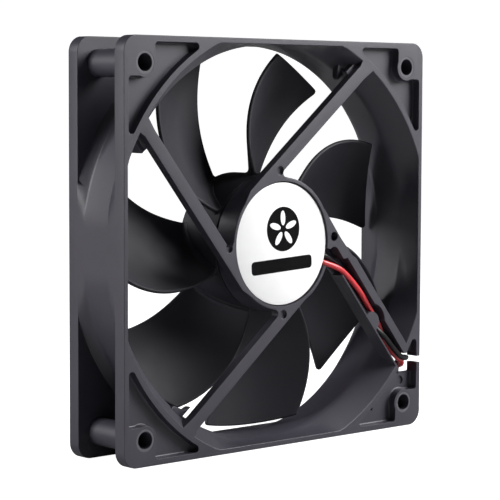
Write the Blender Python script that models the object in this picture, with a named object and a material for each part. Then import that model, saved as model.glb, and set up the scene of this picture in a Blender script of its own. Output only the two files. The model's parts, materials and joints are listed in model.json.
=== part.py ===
"""A 120 mm axial case fan, modelled as the separate pieces it is assembled from.

The fan stands on the bottom edge of its frame: X points right, Z points up and the air
leaves through the front face, which looks along -Y and carries the struts and the label.
Pieces are drawn about the fan axis as (x, depth, z) in millimetres, depth being measured
backwards from the front face, and finish() turns them into metres.
"""
import math

import bmesh
import bpy
import numpy as np
from mathutils import Vector

MM = 0.001

# Frame
SIDE = 120.0
DEPTH = 25.0
HALF = SIDE / 2
CORNER_RADIUS = 4.5
FLANGE = 4.2
HOLE_PITCH = 105.0
HOLE_RADIUS = 2.4
PILLAR_RADIUS = 4.0
DUCT_FLAT = 58.4
THROAT_RADIUS = 58.3
BARREL_RADIUS = 60.6
MOUTH_RADIUS = 63.5
POCKET_DEPTH = 2.6
RIM_INNER = 58.25
RING_WALL = 65.3

# Struts and motor base
STRUT_DEPTH = 3.1
CHANNEL_STRUT_DEPTH = 5.3
CHANNEL_FLOOR = 4.3
TAB_THICKNESS = 1.2
STRUT_REACH = 64.6
FIRST_STRUT_ANGLE = math.radians(38.99)
BASE_RADIUS = 19.6
BASE_DEPTH = 6.9
LABEL_RECESS = 0.8
LABEL_RADIUS = 18.35
PLATE_BACK = 2.2
COLLAR_BACK = 5.0

# Impeller
BLADES = 7
HUB_RADIUS = 20.5
HUB_FRONT = 7.4
HUB_BACK = 24.0
TIP_RADIUS = 56.65
BLADE_ROOT = 19.7
BLADE_THICKNESS = 1.2

# Motor and bearings
TUBE_RADIUS = 5.2
TUBE_BORE = 4.05
BEARING_MIDDLES = {"front": 4.6, "rear": 16.2}
BEARING_HALF = 2.0
BALLS = 7
BALL_RADIUS = 0.794
BALL_PITCH = 2.75
GROOVE_RADIUS = 0.87
SHAFT_RADIUS = 1.47
BORE_RADIUS = 1.5
STATOR_RADIUS = 15.0
STATOR_FRONT = 10.5
STATOR_BACK = 16.5
POLES = 4
ARM_WIDTH = 5.0
BOARD_FRONT = 2.5
BOARD_BACK = 4.1
BOARD_RADIUS = 16.0
PIN_CIRCLE = 8.3

# Leads
LEAD_RADIUS = 0.85
LEAD_STEP = 4.0
GROUND = -HALF
COIL_CENTRE = (73.0, 32.0)
COIL_INNER = 5.5
COIL_OUTER = 12.5
COIL_BOTTOM = GROUND + 0.45
COIL_TOP = COIL_BOTTOM + 3.5
PLUG_FROM = 47.0
PLUG_TO = 56.8
PLUG_MIDDLE = 29.7
PLUG_WIDTH = 7.4
PLUG_HEIGHT = 5.75
PLUG_PITCH = 2.5
CONTACT_HEIGHT = GROUND + 2.9
CAVITY_HALF = 0.95

# Round pieces share one step angle so that nested ones never cross
SEGMENTS = 36
DUCT_SEGMENTS = 60
BEARING_SEGMENTS = 24
SMALL_SEGMENTS = 12

RED_ROUTE = [
    (15.6, 3.4, -5.5), (17.9, 2.0, -6.4), (20.2, 1.5, -7.2), (22.6, 1.2, -8.0),
    (25.6, 1.05, -9.4), (29.2, 1.05, -12.2), (33.5, 1.3, -16.1), (37.1, 1.9, -19.8),
    (40.2, 2.35, -23.4), (42.9, 2.4, -26.9), (44.9, 2.9, -29.8), (46.4, 3.15, -32.3),
    (48.4, 3.25, -34.6), (50.4, 3.3, -36.6), (52.9, 3.45, -38.6), (55.2, 3.7, -40.2),
    (56.3, 4.9, -41.3), (56.9, 7.0, -42.0), (58.2, 9.6, -44.0), (60.2, 12.4, -48.0),
    (61.9, 15.2, -52.6), (63.6, 18.0, -56.6), (65.6, 20.2, -58.7),
]
BLACK_ROUTE = [
    (16.2, 3.4, -3.2), (18.4, 2.6, -4.2), (20.8, 2.5, -5.2), (23.6, 2.8, -6.4),
    (26.6, 3.05, -8.5), (29.4, 3.15, -11.6), (32.0, 3.15, -15.5), (34.8, 3.05, -19.6),
    (37.9, 2.9, -23.6), (41.0, 2.35, -27.5), (43.1, 1.45, -29.8), (45.2, 1.2, -31.6),
    (48.2, 1.2, -34.5), (51.0, 1.35, -37.0), (52.5, 1.45, -38.05), (54.0, 1.6, -38.7),
    (56.3, 2.6, -38.9), (57.4, 4.6, -39.1), (57.8, 7.0, -39.7), (59.4, 9.6, -42.0),
    (61.9, 12.2, -46.2), (63.8, 14.6, -51.4), (65.4, 16.8, -56.0), (67.6, 18.6, -58.6),
]
RED_END = [(59.4, 31.7, -57.4), (58.6, 31.2, -57.2), (57.9, 31.0, -57.1), (57.15, 30.95, -57.1)]
BLACK_END = [(59.7, 28.8, -57.35), (59.2, 28.6, -57.2), (58.2, 28.48, -57.1), (57.15, 28.45, -57.1)]


def clear_scene():
    for obj in list(bpy.data.objects):
        bpy.data.objects.remove(obj, do_unlink=True)


def make_axis():
    """An empty on the fan axis, in the plane of the front face."""
    axis = bpy.data.objects.new("fan_axis", None)
    axis.location = (0, -DEPTH / 2 * MM, HALF * MM)
    bpy.context.scene.collection.objects.link(axis)
    return axis


def make_material(name, colour, roughness, metallic=0.0):
    material = bpy.data.materials.new(name)
    material.use_nodes = True
    shader = material.node_tree.nodes["Principled BSDF"]
    shader.inputs["Base Color"].default_value = (*colour, 1.0)
    shader.inputs["Roughness"].default_value = roughness
    shader.inputs["Metallic"].default_value = metallic
    return material


def place(name, data, material):
    obj = bpy.data.objects.new(name, data)
    if material:
        data.materials.append(material)
    bpy.context.scene.collection.objects.link(obj)
    obj.parent = AXIS
    return obj


def finish(name, bm, material):
    """Close up a bmesh drawn in millimetres and place it as an object in metres."""
    bmesh.ops.remove_doubles(bm, verts=bm.verts, dist=0.001)
    bmesh.ops.recalc_face_normals(bm, faces=bm.faces)
    bmesh.ops.scale(bm, vec=(MM, MM, MM), verts=bm.verts)
    mesh = bpy.data.meshes.new(name)
    bm.to_mesh(mesh)
    bm.free()
    mesh.shade_smooth()
    mesh.set_sharp_from_angle(angle=math.radians(32))
    return place(name, mesh, material)


def spin_profile(bm, profile, centre, axis, steps):
    """Spin a (radius, height) outline about an axis; an outline may end on the axis."""
    side = Vector((1, 0, 0))
    verts = [bm.verts.new(Vector(centre) + side * r + Vector(axis) * h) for r, h in profile]
    edges = [bm.edges.new(pair) for pair in zip(verts, verts[1:])]
    if profile[0][0] > 0 or profile[-1][0] > 0:
        edges.append(bm.edges.new((verts[-1], verts[0])))
    bmesh.ops.spin(bm, geom=verts + edges, cent=centre, axis=axis, angle=2 * math.pi,
                   steps=steps, use_merge=True)


def turned(name, profile, material=None, steps=SEGMENTS, flat=None):
    """A solid turned about the fan axis; flat limits how far it reaches sideways and up."""
    bm = bmesh.new()
    spin_profile(bm, profile, (0, 0, 0), (0, 1, 0), steps)
    if flat:
        for vert in bm.verts:
            vert.co.x = max(-flat, min(flat, vert.co.x))
            vert.co.z = max(-flat, min(flat, vert.co.z))
    return finish(name, bm, material)


def add_plate(bm, outline, front, back):
    """Add a flat plate: an (x, z) outline carried from one depth to another."""
    near = [bm.verts.new((x, front, z)) for x, z in outline]
    far = [bm.verts.new((x, back, z)) for x, z in outline]
    bm.faces.new(near)
    bm.faces.new(far)
    for i in range(len(outline)):
        j = (i + 1) % len(outline)
        bm.faces.new((near[i], near[j], far[j], far[i]))


def plate(name, outlines, front, back, material=None):
    bm = bmesh.new()
    for outline in outlines:
        add_plate(bm, outline, front, back)
    return finish(name, bm, material)


def arc(centre, radius, start, end, steps):
    """Points from one angle to another, in degrees, on an arc in the x-z plane."""
    angles = np.radians(np.linspace(start, end, steps + 1))
    return [(centre[0] + radius * math.cos(a), centre[1] + radius * math.sin(a)) for a in angles]


def box_outline(x_from, x_to, z_from, z_to):
    return [(x_from, z_from), (x_to, z_from), (x_to, z_to), (x_from, z_to)]


def turn_outline(outline, angle):
    cos, sin = math.cos(angle), math.sin(angle)
    return [(x * cos - z * sin, x * sin + z * cos) for x, z in outline]


def group_as_operands(name, objects):
    """Put helper shapes in a collection of their own and mark them as guides."""
    group = bpy.data.collections.new(name)
    bpy.context.scene.collection.children.link(group)
    for obj in objects:
        bpy.context.scene.collection.objects.unlink(obj)
        group.objects.link(obj)
        obj.hide_render = True
        obj.display_type = "WIRE"
    return group


def combine(obj, operation, name, objects):
    modifier = obj.modifiers.new(name, "BOOLEAN")
    modifier.operation = operation
    modifier.solver = "EXACT"
    modifier.operand_type = "COLLECTION"
    modifier.collection = group_as_operands(name, objects)


def smooth_route(points, step):
    """Evenly spaced points on a smooth curve through the given ones."""
    knots = [Vector(p) for p in points]
    knots = [2 * knots[0] - knots[1]] + knots + [2 * knots[-1] - knots[-2]]
    fine = []
    for a, b, c, d in zip(knots, knots[1:], knots[2:], knots[3:]):
        for t in np.linspace(0, 1, 12, endpoint=False):
            bend = 2 * a - 5 * b + 4 * c - d
            twist = 3 * b - a - 3 * c + d
            fine.append(b + 0.5 * ((c - a) * t + bend * t ** 2 + twist * t ** 3))
    fine.append(knots[-2])
    lengths = np.cumsum([0] + [(q - p).length for p, q in zip(fine, fine[1:])])
    places = np.linspace(0, lengths[-1], max(2, round(lengths[-1] / step)) + 1)
    columns = [np.interp(places, lengths, [p[k] for p in fine]) for k in range(3)]
    return list(zip(*columns))


def tube(name, points, radius, material, rings=2):
    curve = bpy.data.curves.new(name, "CURVE")
    curve.dimensions = "3D"
    curve.bevel_depth = radius * MM
    curve.bevel_resolution = rings
    curve.use_fill_caps = True
    curve.resolution_u = 1
    curve.render_resolution_u = 0
    spline = curve.splines.new("POLY")
    spline.points.add(len(points) - 1)
    for point, place_at in zip(spline.points, points):
        point.co = (*(value * MM for value in place_at), 1.0)
    return place(name, curve, material)


# --- frame ----------------------------------------------------------------------------------

def square_outline():
    c = HALF - CORNER_RADIUS
    outline = []
    for quarter, (sx, sz) in enumerate([(1, 1), (-1, 1), (-1, -1), (1, -1)]):
        outline += arc((sx * c, sz * c), CORNER_RADIUS, quarter * 90, quarter * 90 + 90, 5)
    return outline


def pocket_outline():
    """Hollow beside the top right screw hole, between the ring wall and the outer rim."""
    hole = HOLE_PITCH / 2
    pad_radius, pad_edge, cap_radius, fillet = 4.1, 48.8, 1.15, 1.0
    cap_middle = RIM_INNER - cap_radius
    cap_height = math.sqrt((RING_WALL + cap_radius) ** 2 - cap_middle ** 2)
    tangent = math.degrees(math.atan2(cap_height, cap_middle))
    pad_turn = math.degrees(math.acos((hole - pad_edge) / pad_radius))
    inner = RIM_INNER - fillet
    return (
        arc((cap_middle, cap_height), cap_radius, 0, tangent - 180, 3)
        + arc((0, 0), RING_WALL, tangent, 90 - tangent, 6)[1:-1]
        + arc((cap_height, cap_middle), cap_radius, 270 - tangent, 90, 3)
        + arc((pad_edge - fillet, inner), fillet, 90, 0, 2)
        + arc((hole, hole), pad_radius, 180 - pad_turn, 270 + pad_turn, 5)
        + arc((inner, pad_edge - fillet), fillet, 90, 0, 2)
    )


def cylinder_outline(x, z, radius, steps=SMALL_SEGMENTS):
    return arc((x, z), radius, 0, 360, steps)[:-1]


def corner_points():
    h = HOLE_PITCH / 2
    return [(h, h), (-h, h), (-h, -h), (h, -h)]


def strut_outline(inner, outer, root, angle):
    """A straight strut between two offsets from a line through the axis."""
    points = [
        (root, inner),
        (math.sqrt(STRUT_REACH ** 2 - inner ** 2), inner),
        (math.sqrt(STRUT_REACH ** 2 - outer ** 2), outer),
        (0, outer),
        (-6, BASE_RADIUS - 1.2),
        (-6, 12),
        (root, 12),
    ]
    return turn_outline(points, angle)


def channel_strut_outline(angle):
    """The wide lower right strut; its cable channel is cut afterwards."""
    points = [
        (62.6, 12.35), (61.1, 20.35), (24.0, 20.35), (22.0, 19.6), (14.7, 19.2),
        (4.0, 19.4), (-4.0, 18.9), (4.0, 12.0), (16.0, 12.35),
    ]
    return turn_outline(points, angle)


def channel_outline(angle, tab):
    """Cable channel with a round end at the hub and a bulge beside the retaining tab."""
    points = [(24.0, 13.0)]
    if tab:
        points += arc((44.1, 13.0), 3.3, 180, 0, 8)
    points += [(67.0, 13.0), (67.0, 17.6)]
    points += arc((44.1, 13.1), 5.7, 52, 128, 6)
    points += [(21.5, 17.6), (20.5, 16.1)]
    points += arc((16.35, 14.16), 1.9, 90, 200, 4)
    points += [(17.5, 12.0), (24.0, 12.0)]
    return turn_outline(points, angle)


def make_frame(material):
    frame = plate("frame", [square_outline()], 0, FLANGE, material)

    rear_flange = plate("rear_flange", [square_outline()], DEPTH - FLANGE, DEPTH)
    barrel_profile = [
        (0, 2.0), (62.9, 2.0), (62.9, FLANGE), (BARREL_RADIUS, 7.4), (BARREL_RADIUS, 17.6),
        (62.9, DEPTH - FLANGE), (62.9, 23.0), (0, 23.0),
    ]
    barrel = turned("barrel", barrel_profile, steps=DUCT_SEGMENTS, flat=HALF)
    pillars = plate("pillars", [cylinder_outline(x, z, PILLAR_RADIUS, 20) for x, z in corner_points()],
                    3.0, 22.0)
    combine(frame, "UNION", "body_solids", [rear_flange, barrel, pillars])

    duct_profile = [
        (0, -1.0), (MOUTH_RADIUS + 0.65, -1.0), (MOUTH_RADIUS, 0), (60.4, 4.2), (THROAT_RADIUS, 8.0),
        (THROAT_RADIUS, 17.3), (60.5, 20.8), (64.0, DEPTH), (64.65, DEPTH + 1), (0, DEPTH + 1),
    ]
    duct = turned("duct", duct_profile, steps=DUCT_SEGMENTS, flat=DUCT_FLAT)
    combine(frame, "DIFFERENCE", "duct_cut", [duct])

    base_profile = [
        (0, 0), (BASE_RADIUS - 0.25, 0), (BASE_RADIUS, 0.25), (BASE_RADIUS + 0.7, BASE_DEPTH),
        (0, BASE_DEPTH),
    ]
    base = turned("motor_base", base_profile)
    quarter = math.pi / 2
    struts = [
        plate("strut_top_right", [strut_outline(16.6, 20.6, 0, FIRST_STRUT_ANGLE)], 0, STRUT_DEPTH),
        plate("strut_top_left", [strut_outline(16.6, 20.5, 0, FIRST_STRUT_ANGLE + quarter)], 0, STRUT_DEPTH),
        plate("strut_bottom_left", [strut_outline(15.4, 19.3, 0, FIRST_STRUT_ANGLE + 2 * quarter)],
              0, STRUT_DEPTH),
        plate("strut_channel", [channel_strut_outline(FIRST_STRUT_ANGLE + 3 * quarter)],
              0, CHANNEL_STRUT_DEPTH),
    ]
    combine(frame, "UNION", "base_and_struts", [base] + struts)

    pockets = [turn_outline(pocket_outline(), quarter * k) for k in range(4)]
    base_cavity = [
        (4.6, -1), (LABEL_RADIUS + 0.1, -1), (LABEL_RADIUS + 0.1, LABEL_RECESS), (4.6, LABEL_RECESS),
    ]
    skirt_cavity = [
        (6.7, PLATE_BACK), (18.6, PLATE_BACK), (19.1, BASE_DEPTH + 1), (6.7, BASE_DEPTH + 1),
    ]
    middle_bore = [
        (0, -1), (4.6, -1), (4.6, 1.6), (TUBE_RADIUS + 0.05, 1.6), (TUBE_RADIUS + 0.05, COLLAR_BACK),
        (6.75, COLLAR_BACK), (6.75, BASE_DEPTH + 1), (0, BASE_DEPTH + 1),
    ]
    channel_angle = FIRST_STRUT_ANGLE + 3 * quarter
    notch = turn_outline(box_outline(15.6, 21.6, -2.7, 2.7), math.radians(-15.0))
    dimples = [(-1.2, 21.6), (-21.3, -0.4), (0.3, -21.0)]
    cutters = [
        plate("front_pockets", pockets, -1, POCKET_DEPTH),
        plate("rear_pockets", pockets, DEPTH - POCKET_DEPTH, DEPTH + 1),
        plate("screw_holes", [cylinder_outline(x, z, HOLE_RADIUS, 16) for x, z in corner_points()],
              -1, DEPTH + 1),
        turned("label_recess", base_cavity),
        turned("skirt_cavity", skirt_cavity),
        turned("middle_bore", middle_bore),
        plate("lead_notch", [notch], -1, 5.4),
        plate("channel_mouth", [channel_outline(channel_angle, True)], -1, TAB_THICKNESS + 0.5),
        plate("channel_depth", [channel_outline(channel_angle, False)], TAB_THICKNESS, CHANNEL_FLOOR),
        plate("lead_hole", [box_outline(51.7, DUCT_FLAT, -43.35, -37.0)], -1, 5.0),
        plate("lead_slot", [box_outline(58.0, 61.0, -40.4, -38.4)], -1, 5.0),
        plate("dimples", [cylinder_outline(x, z, 1.35) for x, z in dimples], -1, 0.9),
        plate("deep_dimple", [cylinder_outline(21.3, 1.2, 1.4)], -1, 2.2),
    ]
    combine(frame, "DIFFERENCE", "frame_cuts", cutters)


# --- impeller -------------------------------------------------------------------------------

def blade_edge(share, trailing):
    """Angle in degrees and depth of one blade edge, at a share of the way from hub to tip."""
    s = share
    if trailing:
        return 100.9 + 7.8 * s - 35.5 * s ** 2 + 8.4 * s ** 3, 8.4 + 2.9 * s + 0.15 * s ** 2
    return 60.5 + 9.5 * s - 27.2 * s ** 2 + 9.3 * s ** 3, 22.6 + 0.75 * s - 1.55 * s ** 2


def blade_point(radius, chord):
    """Middle surface of a blade, between its trailing edge at 0 and leading edge at 1."""
    share = (radius - 20.0) / (TIP_RADIUS - 20.0)
    angle_a, depth_a = blade_edge(share, True)
    angle_b, depth_b = blade_edge(share, False)
    camber = 0.7 + 0.35 * share
    angle = math.radians(angle_a + (angle_b - angle_a) * chord)
    depth = depth_a + (depth_b - depth_a) * (chord + camber * chord * (1 - chord))
    return Vector((radius * math.cos(angle), depth, radius * math.sin(angle)))


def add_blade(bm, turn):
    radii = np.linspace(BLADE_ROOT, TIP_RADIUS, 7)
    chords = np.linspace(0, 1, 7)
    small = 0.01
    sides = ([], [])
    for radius in radii:
        rows = ([], [])
        for chord in chords:
            here = blade_point(radius, chord)
            along = blade_point(radius, chord + small) - here
            outwards = blade_point(radius + small, chord) - here
            normal = along.cross(outwards).normalized()
            edge_fade = min(1.0, 0.45 + 6 * min(chord, 1 - chord))
            for row, sign in zip(rows, (1, -1)):
                point = here + normal * sign * BLADE_THICKNESS / 2 * edge_fade
                x = point.x * math.cos(turn) - point.z * math.sin(turn)
                z = point.x * math.sin(turn) + point.z * math.cos(turn)
                row.append(bm.verts.new((x, point.y, z)))
        for side, row in zip(sides, rows):
            side.append(row)
    top, bottom = sides
    last = len(chords) - 1
    for i in range(len(radii) - 1):
        for j in range(last):
            bm.faces.new((top[i][j], top[i][j + 1], top[i + 1][j + 1], top[i + 1][j]))
            bm.faces.new((bottom[i][j], bottom[i + 1][j], bottom[i + 1][j + 1], bottom[i][j + 1]))
        for j in (0, last):
            bm.faces.new((top[i][j], bottom[i][j], bottom[i + 1][j], top[i + 1][j]))
    for i in (0, len(radii) - 1):
        for j in range(last):
            bm.faces.new((top[i][j], top[i][j + 1], bottom[i][j + 1], bottom[i][j]))


def make_impeller(material):
    inner = HUB_RADIUS - 1.6
    wall = HUB_BACK - 1.5
    profile = [
        (0, HUB_BACK), (19.0, HUB_BACK), (19.9, HUB_BACK - 0.35), (20.4, HUB_BACK - 1.0),
        (HUB_RADIUS, HUB_BACK - 1.8), (HUB_RADIUS, HUB_FRONT), (inner, HUB_FRONT), (inner, wall),
        (3.5, wall), (3.5, 19.4), (BORE_RADIUS + 0.02, 19.4), (BORE_RADIUS + 0.02, 22.35), (0, 22.35),
    ]
    impeller = turned("impeller", profile, material)
    bm = bmesh.new()
    for k in range(BLADES):
        add_blade(bm, 2 * math.pi * k / BLADES)
    combine(impeller, "UNION", "blade_join", [finish("blades", bm, None)])


# --- bearings and shaft ---------------------------------------------------------------------

def groove(radius_middle, edge, middle, steps=3):
    """Ball track of a bearing ring: an arc from edge to edge of its shoulders."""
    half = math.degrees(math.acos(abs(edge - radius_middle) / GROOVE_RADIUS))
    facing = 0 if edge > radius_middle else 180
    return arc((radius_middle, middle), GROOVE_RADIUS, facing + half, facing - half, steps)


def make_bearing(place_name, middle, steel, cage_material):
    low, high = middle - BEARING_HALF, middle + BEARING_HALF
    shoulder_out, shoulder_in = 3.35, 2.15
    outer_profile = [(4.0, low), (4.0, high), (shoulder_out, high)]
    outer_profile += groove(BALL_PITCH + 0.004, shoulder_out, middle) + [(shoulder_out, low)]
    turned(place_name + "_bearing_outer_ring", outer_profile, steel, BEARING_SEGMENTS)
    inner_profile = [(BORE_RADIUS, low), (BORE_RADIUS, high), (shoulder_in, high)]
    inner_profile += groove(BALL_PITCH - 0.004, shoulder_in, middle)[::-1] + [(shoulder_in, low)]
    turned(place_name + "_bearing_inner_ring", inner_profile, steel, BEARING_SEGMENTS)

    pockets = bmesh.new()
    for k in range(BALLS):
        angle = 2 * math.pi * k / BALLS
        ball = bmesh.new()
        for target, radius in ((ball, BALL_RADIUS), (pockets, BALL_RADIUS + 0.08)):
            sphere = bmesh.ops.create_icosphere(target, subdivisions=1, radius=radius)
            offset = (BALL_PITCH * math.cos(angle), middle, BALL_PITCH * math.sin(angle))
            bmesh.ops.translate(target, verts=sphere["verts"], vec=offset)
        finish(f"{place_name}_bearing_ball_{k + 1}", ball, steel)

    cage_profile = [(2.55, middle - 1.2), (2.55, middle + 1.2), (2.95, middle + 1.2), (2.95, middle - 1.2)]
    cage = turned(place_name + "_bearing_cage", cage_profile, cage_material, BEARING_SEGMENTS)
    ball_pockets = finish(place_name + "_pockets", pockets, None)
    combine(cage, "DIFFERENCE", place_name + "_ball_pockets", [ball_pockets])

    for side, depth in (("front", low + 0.08), ("rear", high - 0.23)):
        shield = [(2.25, depth), (3.3, depth), (3.3, depth + 0.15), (2.25, depth + 0.15)]
        turned(f"{place_name}_bearing_{side}_shield", shield, steel, BEARING_SEGMENTS)


def make_bearing_tube(material):
    profile = [
        (TUBE_RADIUS, 1.65), (TUBE_RADIUS, 18.5), (TUBE_BORE, 18.5), (TUBE_BORE, 14.1),
        (3.4, 14.1), (3.4, 9.2), (TUBE_BORE, 9.2), (TUBE_BORE, 1.65),
    ]
    turned("bearing_tube", profile, material, BEARING_SEGMENTS)


def make_preload_spring(material):
    turns, per_turn, wire, start, end = 3, 14, 0.2, 6.9, 8.95
    points = []
    for k in range(turns * per_turn + 1):
        angle = 2 * math.pi * k / per_turn
        depth = start + (end - start) * k / (turns * per_turn)
        points.append((3.6 * math.cos(angle), depth, 3.6 * math.sin(angle)))
    tube("preload_spring", points, wire, material, rings=1)


def make_shaft(material):
    profile = [
        (0, 1.8), (1.25, 1.8), (SHAFT_RADIUS, 2.0), (SHAFT_RADIUS, 2.15), (1.15, 2.15), (1.15, 2.55),
        (SHAFT_RADIUS, 2.55), (SHAFT_RADIUS, 22.1), (1.3, 22.3), (0, 22.3),
    ]
    turned("shaft", profile, material, BEARING_SEGMENTS)


def make_retaining_clip(material):
    outline = arc((0, 0), 2.5, -60, 240, 20) + arc((0, 0), 1.2, 240, -60, 20)
    plate("retaining_clip", [outline], 2.2, 2.5, material)


def make_spacer(material):
    profile = [(1.55, 18.25), (2.3, 18.25), (2.3, 19.35), (1.55, 19.35)]
    turned("shaft_spacer", profile, material, BEARING_SEGMENTS)


# --- motor ----------------------------------------------------------------------------------

def pole_outline(arm_width, hub, shoe_in, shoe_out, shoe_half, lug=0.0):
    """Four-armed stator shape; a lug stands on the diagonal between two arms."""
    half = arm_width / 2
    outline = []
    for k in range(POLES):
        quarter = arc((0, 0), shoe_out, -shoe_half, shoe_half, 5)
        back = arc((0, 0), shoe_in, shoe_half, shoe_half, 1)[:1]
        foot = [(math.sqrt(shoe_in ** 2 - half ** 2), half), (math.sqrt(hub ** 2 - half ** 2), half)]
        front = [(x, -z) for x, z in reversed(back + foot)]
        between = []
        if lug:
            between = [(hub - 0.2, -0.9), (lug, -0.9), (lug, 0.9), (hub - 0.2, 0.9)]
            between = turn_outline(between, math.pi / 4)
        arm = front + quarter + back + foot + between
        outline += turn_outline(arm, 2 * math.pi * k / POLES)
    return outline


def cut_bore(obj, radius, front, back):
    profile = [(0, front - 1), (radius, front - 1), (radius, back + 1), (0, back + 1)]
    combine(obj, "DIFFERENCE", obj.name + "_bore_cut", [turned(obj.name + "_bore", profile)])


def make_stator_core(material):
    outline = pole_outline(ARM_WIDTH, 7.5, 13.4, STATOR_RADIUS, 36)
    core = plate("stator_core", [outline], STATOR_FRONT, STATOR_BACK, material)
    cut_bore(core, TUBE_RADIUS + 0.1, STATOR_FRONT, STATOR_BACK)


def make_insulator(name, near, far, rim_to, lug, material):
    """Plastic end plate of the stator with an upstand behind each pole shoe."""
    outline = pole_outline(ARM_WIDTH + 0.4, 7.6, 13.3, 14.7, 34, lug)
    plate_front, plate_back = sorted((near, far))
    insulator = plate(name, [outline], plate_front, plate_back, material)
    cut_bore(insulator, TUBE_RADIUS + 0.1, plate_front, plate_back)
    walls = []
    for k in range(POLES):
        wall = arc((0, 0), 14.3, -24, 24, 3) + arc((0, 0), 13.4, 24, -24, 3)
        walls.append(turn_outline(wall, 2 * math.pi * k / POLES))
    rim_front, rim_back = sorted(((near + far) / 2, rim_to))
    combine(insulator, "UNION", name + "_walls", [plate(name + "_upstands", walls, rim_front, rim_back)])


def make_windings(material):
    """One wound bobbin of wire around each stator arm."""
    middle = (STATOR_FRONT + STATOR_BACK) / 2
    inner_width, inner_height = 3.0, 4.35
    build = 1.6
    for k in range(POLES):
        bm = bmesh.new()
        angle = 2 * math.pi * k / POLES
        rings = []
        for radius in (8.6, 11.8):
            for grow in (0.0, build):
                corner = 0.6 + grow * 0.8
                w, h = inner_width + grow - corner, inner_height + grow - corner
                ring = []
                for quarter, (sw, sh) in enumerate([(1, 1), (-1, 1), (-1, -1), (1, -1)]):
                    start = quarter * 90
                    ring += arc((sw * w, sh * h), corner, start, start + 90, 2)
                rings.append([bm.verts.new((
                    radius * math.cos(angle) - across * math.sin(angle),
                    middle + along,
                    radius * math.sin(angle) + across * math.cos(angle),
                )) for across, along in ring])
        near_in, near_out, far_in, far_out = rings
        around = [near_in, near_out, far_out, far_in]
        for first, second in zip(around, around[1:] + around[:1]):
            for i in range(len(first)):
                j = (i + 1) % len(first)
                bm.faces.new((first[i], first[j], second[j], second[i]))
        finish(f"stator_winding_{k + 1}", bm, material)


def pin_points():
    return turn_outline([(PIN_CIRCLE, 0)], math.pi / 4) + turn_outline([(PIN_CIRCLE, 0)], 5 * math.pi / 4)


def make_circuit_board(material):
    hole = 6.95
    profile = [
        (hole, BOARD_FRONT), (BOARD_RADIUS, BOARD_FRONT), (BOARD_RADIUS, BOARD_BACK), (hole, BOARD_BACK),
    ]
    board = turned("circuit_board", profile, material)
    holes = plate("pin_holes", [cylinder_outline(x, z, 0.5) for x, z in pin_points()],
                  BOARD_FRONT - 1, BOARD_BACK + 1)
    combine(board, "DIFFERENCE", "pin_hole_cut", [holes])


def make_winding_pins(material):
    for k, (x, z) in enumerate(pin_points()):
        plate(f"winding_pin_{k + 1}", [cylinder_outline(x, z, 0.3, 8)], 2.7, 9.2, material)


def make_driver_chip(material):
    """Four-legged driver chip with its Hall sensor, lying on the board."""
    turn = math.radians(110)
    bm = bmesh.new()
    for offset in (-1.9, -0.65, 0.65, 1.9):
        leg = turn_outline(box_outline(9.1, 10.0, offset - 0.2, offset + 0.2), turn)
        add_plate(bm, leg, BOARD_BACK + 0.05, BOARD_BACK + 0.5)
    chip = plate("driver_chip", [turn_outline(box_outline(9.9, 12.9, -2.5, 2.5), turn)],
                 BOARD_BACK + 0.05, BOARD_BACK + 1.5, material)
    combine(chip, "UNION", "chip_legs", [finish("legs", bm, None)])


def make_capacitor(material):
    x, z = turn_outline([(11.6, 0)], math.radians(215))[0]
    bm = bmesh.new()
    back = BOARD_BACK + 2.9
    profile = [
        (0, BOARD_BACK + 0.05), (2.0, BOARD_BACK + 0.05), (2.0, BOARD_BACK + 0.5), (1.8, BOARD_BACK + 0.7),
        (2.0, BOARD_BACK + 0.9), (2.0, back - 0.2), (1.8, back), (0, back),
    ]
    spin_profile(bm, profile, (x, 0, z), (0, 1, 0), SMALL_SEGMENTS)
    finish("capacitor", bm, material)


def make_rotor_yoke(material):
    profile = [(18.8, 8.0), (18.8, 21.9), (3.6, 21.9), (3.6, 21.1), (18.0, 21.1), (18.0, 8.0)]
    turned("rotor_yoke", profile, material)


def make_ring_magnet(material):
    profile = [(17.9, 8.3), (17.9, 19.5), (15.4, 19.5), (15.4, 8.3)]
    turned("ring_magnet", profile, material)


def make_label(material):
    profile = [(0, 0.6), (LABEL_RADIUS, 0.6), (LABEL_RADIUS, 0.75), (0, 0.75)]
    turned("motor_label", profile, material)


# --- leads ----------------------------------------------------------------------------------

def make_coil(material):
    """Outer shape of the wound spare lead, lying on the ground behind the lower right corner."""
    profile = [
        (COIL_INNER, COIL_BOTTOM), (COIL_OUTER - 0.6, COIL_BOTTOM), (COIL_OUTER, COIL_BOTTOM + 0.6),
        (COIL_OUTER, COIL_TOP - 0.6), (COIL_OUTER - 0.6, COIL_TOP), (COIL_INNER, COIL_TOP),
    ]
    bm = bmesh.new()
    spin_profile(bm, profile, (*COIL_CENTRE, 0), (0, 0, 1), SEGMENTS)
    finish("lead_coil", bm, material)


def add_box(bm, across, depths, heights):
    add_plate(bm, box_outline(*across, *heights), *depths)


def make_coil_tie(material):
    """Band around the coil, at its side away from the frame."""
    gap, thick, width = 0.12, 0.3, 3.0
    x = COIL_CENTRE[0]
    near = COIL_CENTRE[1] + COIL_INNER - 0.25
    far = COIL_CENTRE[1] + COIL_OUTER + 0.05
    low, high = COIL_BOTTOM, COIL_TOP
    bm = bmesh.new()
    rings = []
    for side in (x - width / 2, x + width / 2):
        for grow in (gap, gap + thick):
            corners = [(near - grow, low - grow), (far + grow, low - grow), (far + grow, high + grow),
                       (near - grow, high + grow)]
            rings.append([bm.verts.new((side, depth, z)) for depth, z in corners])
    left_in, left_out, right_in, right_out = rings
    around = [left_in, left_out, right_out, right_in]
    for first, second in zip(around, around[1:] + around[:1]):
        for i in range(4):
            j = (i + 1) % 4
            bm.faces.new((first[i], first[j], second[j], second[i]))
    finish("coil_tie", bm, material)


def cavity_depths():
    return (PLUG_MIDDLE - PLUG_PITCH / 2, PLUG_MIDDLE + PLUG_PITCH / 2)


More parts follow.
